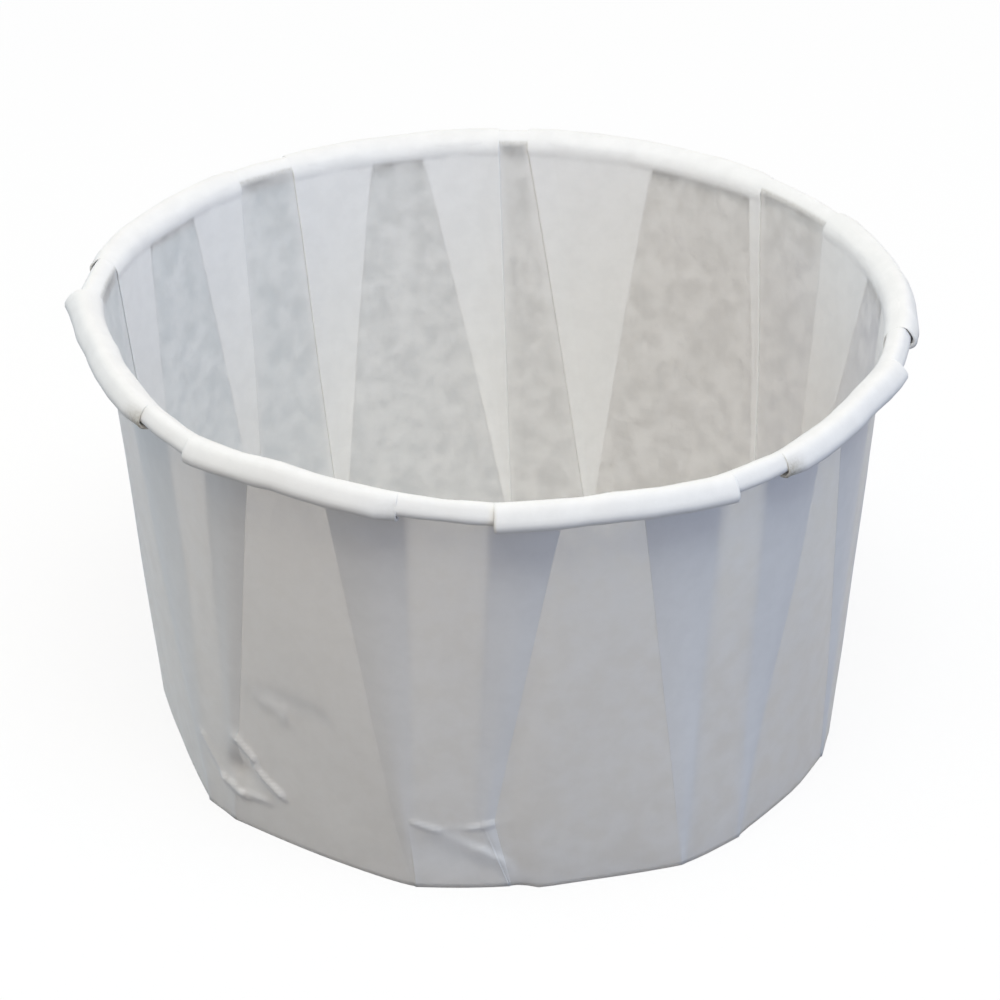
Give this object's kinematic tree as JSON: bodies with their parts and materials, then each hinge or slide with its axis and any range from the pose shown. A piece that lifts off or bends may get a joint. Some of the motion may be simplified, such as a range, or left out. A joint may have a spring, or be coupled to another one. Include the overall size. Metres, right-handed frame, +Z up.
{
  "type": "paper souffle cup",
  "caption": "Small white paper portion cup folded from one round sheet, with box pleats round a flaring wall, a flat many-sided base and a rolled rim.",
  "frame": {"origin": "middle of the base, on the surface the cup stands on", "axes": "+Z up through the mouth, -Y to the front of the picture, +X to its right"},
  "size_m": [0.0762, 0.0762, 0.0434],
  "materials": {
    "white_paper": "matt uncoated white paper, thin enough to let light through where it is a single layer"
  },
  "bodies": {
    "root": {"pleated_cup": "white_paper"}
  },
  "joints": []
}
